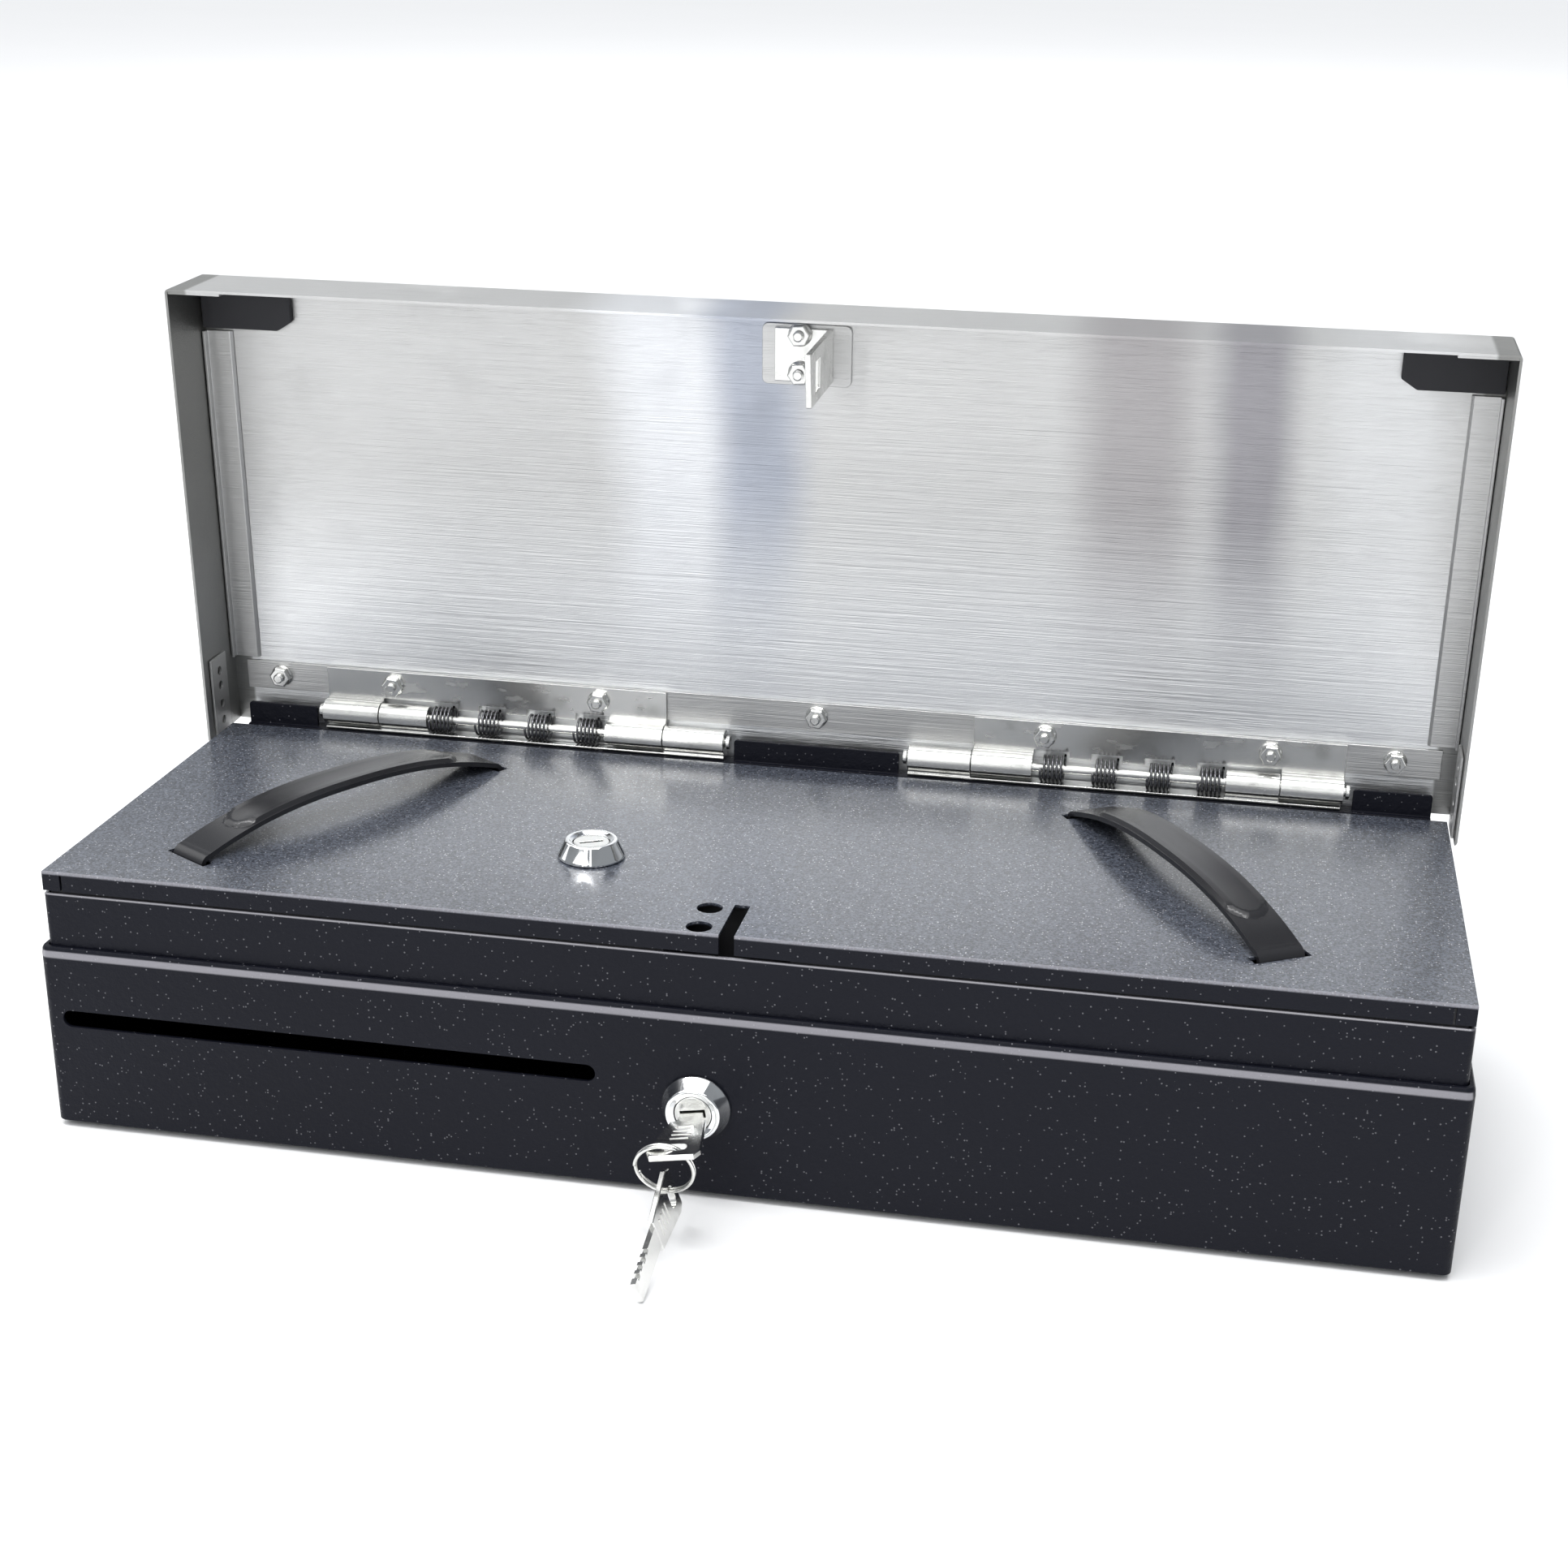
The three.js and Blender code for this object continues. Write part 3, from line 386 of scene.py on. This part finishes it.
ownFinish = {"lid_skin": "lid", "tray_cover": "cover"}
sheetEdges = {
    "lower_case": ("caseShell", 0.45, 3),
    "upper_rim": ("rimBand", 0.3, 3),
    "rear_hinge_rail": ("hingeRail", 0.25, 2),
    "tray_cover": ("coverSheet", 0.32, 3),
    "cash_tray": ("trayMould", 0.6, 3),
    "lid_skin": ("lidShell", 0.22, 2),
    "lid_hinge_strip": ("hingeStrip", 0.15, 2),
    "lid_side_frame_left": ("sideFrameLeft", 0.2, 2),
    "lid_side_frame_right": ("sideFrameRight", 0.2, 2),
    "flange_plate_left": ("flangePlateLeft", 0.15, 2),
    "flange_plate_right": ("flangePlateRight", 0.15, 2),
    "hinge_case_leaf_left": ("caseLeafLeft", 0.25, 2),
    "hinge_case_leaf_right": ("caseLeafRight", 0.25, 2),
    "hinge_lid_leaf_left": ("lidLeafLeft", 0.25, 2),
    "hinge_lid_leaf_right": ("lidLeafRight", 0.25, 2),
    "coin_cups": ("cupsMould", 0.5, 3),
    "tray_catch": ("catchStrip", 0.3, 2),
    "hinge_rod_left": ("rodLeft", 0.3, 2),
    "hinge_rod_right": ("rodRight", 0.3, 2),
    "striker_base_plate": ("strikerPlate", 0.2, 2),
    "striker_bracket": ("strikerTongue", 0.4, 3),
    "corner_pad_left": ("padLeft", 0.5, 3),
    "corner_pad_right": ("padRight", 0.5, 3),
    "latch_bracket": ("latchPlate", 0.25, 2),
    "latch_lever": ("latchArm", 0.3, 2),
    "solenoid_body": ("solenoidYoke", 0.5, 3),
    "solenoid_plunger": ("solenoidRod", 0.3, 2),
    "front_lock_cam": ("frontCam", 0.3, 2),
    "tray_lock_cam": ("trayCam", 0.3, 2),
    "cable_grommet": ("grommet", 0.5, 3),
    "front_lock_cylinder": ("frontPlug", 0.3, 3),
    "tray_lock_cylinder": ("trayPlug", 0.3, 3),
    "foot_1": ("footRearLeft", 0.4, 3),
    "foot_2": ("footFrontLeft", 0.4, 3),
    "foot_3": ("footRearRight", 0.4, 3),
    "foot_4": ("footFrontRight", 0.4, 3),
}
for node, (name, width, segments) in sheetEdges.items():
    piece = softened(node, name, width * mm, segments)
    if node in ownFinish:
        piece.data.materials[0] = finishes[ownFinish[node]]
print("sheet pieces made:", len(sheetEdges))


# lathe work: a line of points spun about Z, then put in place


def spun(profile, steps=64):
    shape = bmesh.new()
    line = [shape.verts.new((radius * mm, 0, height * mm)) for radius, height in profile]
    edges = [shape.edges.new(pair) for pair in zip(line, line[1:])]
    bmesh.ops.spin(
        shape,
        geom=line + edges,
        cent=(0, 0, 0),
        axis=(0, 0, 1),
        angle=math.radians(360),
        steps=steps,
        use_merge=True,
    )
    return shape


def moved(shape, *matrices):
    whole = Matrix.Identity(4)
    for matrix in matrices:
        whole = whole @ matrix
    bmesh.ops.transform(shape, matrix=whole, verts=shape.verts)
    return shape


def shift(x, y, z):
    return Matrix.Translation((x * mm, y * mm, z * mm))


def turned(degrees, axis):
    return Matrix.Rotation(math.radians(degrees), 4, axis)


lidHinge = {"y": 77.2, "z": 96.5, "open": 88}
lidOpen = (
    shift(0, lidHinge["y"], lidHinge["z"])
    @ turned(-lidHinge["open"], "X")
    @ shift(0, -lidHinge["y"], -lidHinge["z"])
)


# lock bezels

bezel = {
    "bore": 6.25,
    "barrel": 8.9,
    "base": 11.3,
    "nose": 8.5,
    "rise": 6.3,
    "seat": 0.3,
    "front": (-7.6, -85, 31, 18),
    "tray": (-56.8, -28.6, 90.4, 19),
}


def bezelProfile(length):
    b = bezel
    return [
        (b["bore"], -length),
        (b["barrel"] - 0.4, -length),
        (b["barrel"], 0.4 - length),
        (b["barrel"], b["seat"]),
        (b["base"] - 0.2, b["seat"]),
        (b["base"], b["seat"] + 0.25),
        (b["base"], b["seat"] + 0.75),
        (b["base"] - 0.2, b["seat"] + 1.0),
        (b["nose"] + 0.45, b["rise"] - 0.55),
        (b["nose"] + 0.2, b["rise"] - 0.15),
        (b["nose"] - 0.1, b["rise"]),
        (b["nose"] - 0.9, b["rise"]),
        (b["nose"] - 1.1, b["rise"] - 0.12),
        (b["bore"] + 0.45, b["rise"] - 0.75),
        (b["bore"] + 0.1, b["rise"] - 0.8),
        (b["bore"], b["rise"] - 1.0),
        (b["bore"], -length),
    ]


def makeBezel(name, node, place, tilt):
    *point, length = place
    newPiece(name, moved(spun(bezelProfile(length)), shift(*point), turned(tilt, "X")), [node])


makeBezel("frontBezel", "front_lock_housing", bezel["front"], 90)
makeBezel("trayBezel", "tray_lock_housing", bezel["tray"], 0)
print("lock bezels made")


# torsion springs: a round wire wound about the hinge rod

coilSpring = {"wire": 0.45, "outer": 5.0, "length": 9.5, "turns": 5.75, "stepsPerTurn": 28, "leg": 0.9}


def woundWire(wire, radius, pitch, turns, stepsPerTurn, sides=10):
    shape = bmesh.new()
    ring = bmesh.ops.create_circle(shape, cap_ends=False, segments=sides, radius=wire)["verts"]
    bmesh.ops.rotate(shape, verts=ring, cent=(0, 0, 0), matrix=Matrix.Rotation(math.radians(90), 3, "X"))
    bmesh.ops.translate(shape, verts=ring, vec=(radius, 0, -pitch * turns / 2))
    steps = round(turns * stepsPerTurn)
    start = shape.edges[:]
    end = bmesh.ops.spin(
        shape,
        geom=ring + start,
        cent=(0, 0, 0),
        axis=(0, 0, 1),
        dvec=(0, 0, pitch * turns / steps),
        angle=math.radians(360) * turns,
        steps=steps,
    )["geom_last"]
    return shape, start, [e for e in end if isinstance(e, bmesh.types.BMEdge)]


def extended(shape, edges, push):
    made = bmesh.ops.extrude_edge_only(shape, edges=edges)["geom"]
    verts = [v for v in made if isinstance(v, bmesh.types.BMVert)]
    bmesh.ops.translate(shape, verts=verts, vec=push)
    return [e for e in made if isinstance(e, bmesh.types.BMEdge)]


def makeSpring(side, sideName, number):
    s = coilSpring
    wire = s["wire"] * mm
    pitch = (s["length"] * mm - 2 * wire) / s["turns"]
    shape, start, end = woundWire(wire, s["outer"] * mm - wire, pitch, s["turns"], s["stepsPerTurn"])
    start = extended(shape, start, (0, -s["leg"] * mm, 0))
    end = extended(shape, end, (0, -s["leg"] * mm, 0))
    bmesh.ops.holes_fill(shape, edges=start + end, sides=0)
    node = f"torsion_spring_{sideName}_{number}"
    low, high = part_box(node)
    middle = (low.x + high.x) / 2 / mm
    moved(shape, shift(middle, lidHinge["y"], lidHinge["z"]), turned(90, "Y"), turned(-90, "Z"))
    return newPiece(f"spring{sideName.title()}{number}", shape, [node])


for side, sideName in ((-1, "left"), (1, "right")):
    for number in (1, 2, 3, 4):
        makeSpring(side, sideName, number)
print("springs wound")


# flanged nuts on threaded studs

nut = {"flat": 7, "tall": 3.3, "flange": 4.15, "stud": 1.85, "reach": 1.5, "pitch": 0.5}


def nutBody(n):
    shape = bmesh.new()
    hexRadius = n["flat"] / 2 / math.cos(math.radians(30)) * mm
    ring = bmesh.ops.create_circle(shape, cap_ends=True, segments=6, radius=hexRadius)["verts"]
    top = bmesh.ops.extrude_face_region(shape, geom=shape.faces[:])["geom"]
    top = [v for v in top if isinstance(v, bmesh.types.BMVert)]
    bmesh.ops.translate(shape, verts=top, vec=(0, 0, n["tall"] * mm))
    bmesh.ops.translate(shape, verts=ring, vec=(0, 0, 0.5 * mm))
    rim = [e for e in shape.edges if all(v in top for v in e.verts)]
    bmesh.ops.bevel(
        shape,
        geom=rim,
        offset=0.55 * mm,
        segments=3,
        profile=0.5,
        affect="EDGES",
        material=-1,
        clamp_overlap=True,
    )
    return shape


def addSpun(shape, profile, steps=32):
    extra = bpy.data.meshes.new("extra")
    part = spun(profile, steps)
    bmesh.ops.recalc_face_normals(part, faces=part.faces)
    part.to_mesh(extra)
    part.free()
    shape.from_mesh(extra)
    bpy.data.meshes.remove(extra)


def threadProfile(n):
    top = n["tall"] + n["reach"]
    points = [(0, top), (n["stud"] - 0.5, top), (n["stud"] - 0.25, top - 0.2)]
    turns = int((n["reach"] + 0.6) / n["pitch"])
    for turn in range(turns):
        height = top - 0.3 - turn * n["pitch"]
        points += [(n["stud"], height), (n["stud"] - 0.28, height - n["pitch"] / 2)]
    return points + [(n["stud"] - 0.28, 0.2), (0, 0.2)]


def flangeProfile(n):
    r = n["flange"]
    shoulder = n["flat"] / 2 - 0.1
    return [(0, 0.02), (r - 0.15, 0.02), (r, 0.17), (r, 0.45), (r - 0.25, 0.7), (shoulder, 1.0), (0, 1.0)]


def makeNut(node, name, place):
    shape = nutBody(nut)
    addSpun(shape, flangeProfile(nut))
    addSpun(shape, threadProfile(nut))
    spinBy = turned(sum(ord(c) for c in node) % 60, "Z")  # nuts stop at their own angles
    moved(shape, lidOpen, shift(*place), turned(180, "X"), spinBy)
    bmesh.ops.recalc_face_normals(shape, faces=shape.faces)
    return newPiece(name, shape, [node], smooth=False)


stripNuts = {
    "across": (-210, -164.5, -83.8, -0.8, 83.8, 164.5, 208),
    "y": 66,
    "seatOnStrip": 101.0,
    "seatOnLeaf": 99.7,
}
for number, across in enumerate(stripNuts["across"], 1):
    onLeaf = 60 < abs(across) < 190
    seat = stripNuts["seatOnLeaf"] if onLeaf else stripNuts["seatOnStrip"]
    makeNut(f"hinge_strip_nut_{number}", f"stripNut{number}", (across, stripNuts["y"], seat))
for number, along in enumerate((-75, -61.6), 1):
    makeNut(f"striker_nut_{number}", f"strikerNut{number}", (-8.2, along, 98.8))
print("nuts made")


# strap handles: a thin band with a raised grip, its ends turned down through the slots

strap = {
    "span": 128,
    "width": 16,
    "thick": 1.7,
    "bow": 11.7,
    "clear": 1.7,
    "coverTop": 90.4,
    "leg": 3.6,
    "corner": 2.6,
    "gripHalf": 47,
    "gripWide": 6.2,
    "gripRise": 1.5,
    "left": (-152.4, -4.8, -31.3),
    "right": (136.6, -4.8, 31.3),
}


def strapLine(s, share):
    # share runs from -1 to 1 along the band; the last part of each end is the leg
    half = s["span"] / 2
    reach = abs(share) * (half + s["leg"] + s["clear"])
    side = 1 if share > 0 else -1
    if reach <= half - s["corner"]:
        part = reach / half
        return side * reach, s["coverTop"] + s["clear"] + (s["bow"] - s["clear"]) * (1 - part**2.4)
    part = (half - s["corner"]) / half
    startHeight = s["coverTop"] + s["clear"] + (s["bow"] - s["clear"]) * (1 - part**2.4)
    beyond = reach - (half - s["corner"])
    arc = s["corner"] * math.pi / 2
    if beyond < arc:
        angle = beyond / s["corner"]
        out = half - s["corner"] + s["corner"] * math.sin(angle)
        return side * out, startHeight - s["corner"] * (1 - math.cos(angle))
    return side * half, startHeight - s["corner"] - (beyond - arc) * 1.6


def gripHeight(s, share, across):
    along = abs(share) * (s["span"] / 2 + s["leg"] + s["clear"])
    endRun = max(0.0, along - (s["gripHalf"] - s["gripWide"]))
    away = math.hypot(endRun, across) - s["gripWide"]
    edge = min(1.0, max(0.0, 0.5 - away / 1.1))
    dish = 0.45 * (1 - min(1.0, abs(across) / s["gripWide"]) ** 2) * edge
    return s["gripRise"] * edge * edge * (3 - 2 * edge) - dish


def makeStrap(name, node, place):
    s = strap
    shape = bmesh.new()
    bmesh.ops.create_grid(shape, x_segments=22, y_segments=150, size=1)
    for vert in shape.verts:
        share, across = vert.co.y, vert.co.x * s["width"] / 2
        y0, z0 = strapLine(s, share - 0.004)
        y1, z1 = strapLine(s, share + 0.004)
        normal = Vector((0, z0 - z1, y1 - y0)).normalized()
        y, z = strapLine(s, share)
        point = Vector((across, y, z - s["thick"])) + normal * gripHeight(s, share, across)
        vert.co = point * mm
    moved(shape, shift(place[0], place[1], 0), turned(place[2], "Z"))
    piece = newPiece(name, shape, [node])
    solid = piece.modifiers.new("thickness", "SOLIDIFY")
    solid.thickness = s["thick"] * mm
    solid.offset = 1.0
    solid.use_even_offset = True
    roundEdges(piece, 0.45 * mm, 3, 50)
    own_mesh(piece)
    return piece


for side in ("left", "right"):
    makeStrap(f"strap{side.title()}", f"strap_handle_{side}", strap[side])
print("straps made")


# keys: a stamped blank with a bordered bow and a grooved, cut blade

keyShape = {
    "bow": 23,
    "wide": 17.4,
    "neck": 11.6,
    "thick": 2.0,
    "rise": 0.35,
    "border": 1.3,
    "keyOut": 11.1,
    "roll": 10,
    "spare": (-10.6, -109.8, 11.8),
    "pitch": 13.46,
    "lean": 14.3,
}


def bowBorder(k, up):
    shape = bmesh.new()
    outline = [
        (-k["neck"] / 2 + 0.6, -1.6),
        (-k["wide"] / 2 + 0.5, -k["bow"] + 3.1),
        (-k["wide"] / 2 + 1.8, -k["bow"] + 0.5),
        (k["wide"] / 2 - 1.8, -k["bow"] + 0.5),
        (k["wide"] / 2 - 0.5, -k["bow"] + 3.1),
        (k["neck"] / 2 - 0.6, -1.6),
    ]
    face = shape.faces.new([shape.verts.new((x * mm, y * mm, 0)) for x, y in outline])
    bmesh.ops.inset_region(shape, faces=[face], thickness=k["border"] * mm, use_even_offset=True)
    bmesh.ops.delete(shape, geom=[face], context="FACES_ONLY")
    made = bmesh.ops.extrude_face_region(shape, geom=shape.faces[:])["geom"]
    lifted = [v for v in made if isinstance(v, bmesh.types.BMVert)]
    bmesh.ops.translate(shape, verts=lifted, vec=(0, 0, k["rise"] * mm))
    return moved(shape, shift(0, 0, k["thick"] / 2 - 0.02 if up else -k["thick"] / 2 - k["rise"] + 0.02))


def joined(name, shapes, standsFor):
    whole = bmesh.new()
    for part in shapes:
        bmesh.ops.recalc_face_normals(part, faces=part.faces)
        mesh = bpy.data.meshes.new("part")
        part.to_mesh(mesh)
        part.free()
        whole.from_mesh(mesh)
        bpy.data.meshes.remove(mesh)
    return newPiece(name, whole, standsFor)


def keyRidges(k):
    shapes = []
    for up in (True, False):
        for row in range(4):
            shape = bmesh.new()
            bmesh.ops.create_cube(shape, size=1)
            height = (k["thick"] / 2 + 0.1) * (1 if up else -1)
            size = Matrix.Diagonal((6.2 * mm, 0.7 * mm, 0.34 * mm, 1))
            moved(shape, shift(0, -4.2 - row * 2.5, height), size)
            bmesh.ops.bevel(
                shape,
                geom=shape.edges[:],
                offset=0.1 * mm,
                segments=2,
                profile=0.5,
                affect="EDGES",
                material=-1,
            )
            shapes.append(shape)
    return shapes


def keyBlank(node, restore):
    shape = bmesh.new()
    shape.from_mesh(nodes[node].data)
    bmesh.ops.remove_doubles(shape, verts=shape.verts, dist=2e-6)
    bmesh.ops.dissolve_limit(
        shape, angle_limit=math.radians(0.6), verts=shape.verts, edges=shape.edges, delimit={"NORMAL"}
    )
    return moved(shape, restore.inverted())


def makeKey(name, node, place):
    k = keyShape
    shapes = [keyBlank(node, place), bowBorder(k, True), bowBorder(k, False), *keyRidges(k)]
    for part in shapes:
        moved(part, place)
    return roundEdges(joined(name, shapes, [node]), 0.22 * mm, 2)


k = keyShape
frontKeyPlace = (
    shift(*bezel["front"][:3])
    @ turned(90, "X")
    @ turned(k["roll"], "Z")
    @ shift(0, 0, k["keyOut"])
    @ turned(-90, "X")
)
sparePlace = (
    shift(*k["spare"])
    @ turned(180, "Z")
    @ turned(-k["pitch"], "X")
    @ turned(k["lean"] - 90, "Y")
    @ shift(0, k["bow"] - 5.2, 0)
)
makeKey("frontKey", "front_key", frontKeyPlace)
makeKey("spareKey", "spare_key", sparePlace)
print("keys cut")


# split ring: nearly two turns of wire

splitRing = {
    "centre": (-11.3, -112.5, 23.5),
    "radius": 9.3,
    "wire": 0.58,
    "turns": 1.93,
    "pitch": 1.15,
    "lean": 12.6,
}


def makeRing():
    r = splitRing
    shape, start, end = woundWire(r["wire"] * mm, r["radius"] * mm, r["pitch"] * mm, r["turns"], 56, 12)
    bmesh.ops.holes_fill(shape, edges=start + end, sides=0)
    moved(shape, shift(*r["centre"]), turned(90 + r["lean"], "X"), turned(200, "Z"))
    return newPiece("splitRing", shape, ["key_ring"])


makeRing()
print("split ring wound")


# floor and light

studio = {
    "floor": (0.93, 0.93, 0.935),
    "world": (0.9, 0.95, 1.0),
    "worldStrength": 0.32,
    "sun": {"strength": 2.2, "spread": 80, "tilt": (12, -14)},
    "lights": [
        # name, place, aim, size x, size y, power
        ("overhead", (-0.1, -0.3, 1.4), (0, 0, 0.05), 2.2, 0.08, 12),
        ("behind", (-0.1, 1.3, 1.15), (0, 0, 0.1), 2.2, 0.8, 6),
        ("leftWindow", (-1.5, 0.3, 0.9), (0, 0, 0.1), 0.8, 1.0, 3),
        ("leftStrip", (-0.57, -2.0, 1.1), (-0.57, 0, 1.1), 0.16, 1.9, 6.5),
        ("leftPanel", (-1.2, -1.9, 1.1), (-0.2, 0, 0.5), 0.7, 1.9, 1.5),
        ("middleStrip", (-0.22, -2.05, 1.1), (-0.22, 0, 1.1), 0.3, 1.9, 2.7),
        ("rightStrip", (0.36, -2.05, 1.1), (0.36, 0, 1.1), 0.22, 1.9, 3),
        ("backdrop", (0, 3.0, 1.6), (0, 4.6, 0), 3.0, 1.0, 40),
    ],
}


def makeStage(s):
    shape = bmesh.new()
    bmesh.ops.create_grid(shape, x_segments=2, y_segments=2, size=30)
    bmesh.ops.translate(shape, verts=shape.verts, vec=(0, 0, floorHeight))
    mesh = bpy.data.meshes.new("floor")
    shape.to_mesh(mesh)
    shape.free()
    floor = bpy.data.objects.new("floor", mesh)
    bpy.context.scene.collection.objects.link(floor)
    paper = Finish("palePaper", roughness=0.9, specularIorLevel=0.2)
    tone = paper.noise(2, 2.0, 0.5)
    paper.feed("baseColor", paper.mixed(tone, s["floor"], tuple(c * 0.985 for c in s["floor"])))
    mesh.materials.append(paper.material)
    world = bpy.data.worlds.new("studio")
    world.use_nodes = True
    sky = world.node_tree.nodes["Background"]
    sky.inputs["Color"].default_value = (*s["world"], 1)
    sky.inputs["Strength"].default_value = s["worldStrength"]
    bpy.context.scene.world = world
    data = bpy.data.lights.new("sky", "SUN")
    data.energy, data.angle = s["sun"]["strength"], math.radians(s["sun"]["spread"])
    light = bpy.data.objects.new("sky", data)
    bpy.context.scene.collection.objects.link(light)
    light.matrix_world = turned(s["sun"]["tilt"][0], "X") @ turned(s["sun"]["tilt"][1], "Y")
    for name, place, aim, wide, tall, power in s["lights"]:
        data = bpy.data.lights.new(name, "AREA")
        data.shape = "RECTANGLE"
        data.size, data.size_y, data.energy = wide, tall, power
        light = bpy.data.objects.new(name, data)
        bpy.context.scene.collection.objects.link(light)
        look = (Vector(aim) - Vector(place)).to_track_quat("-Z", "Y")
        light.matrix_world = Matrix.Translation(place) @ look.to_matrix().to_4x4()


makeStage(studio)
bpy.context.scene.view_settings.view_transform = "Standard"
print("stage and lights made")
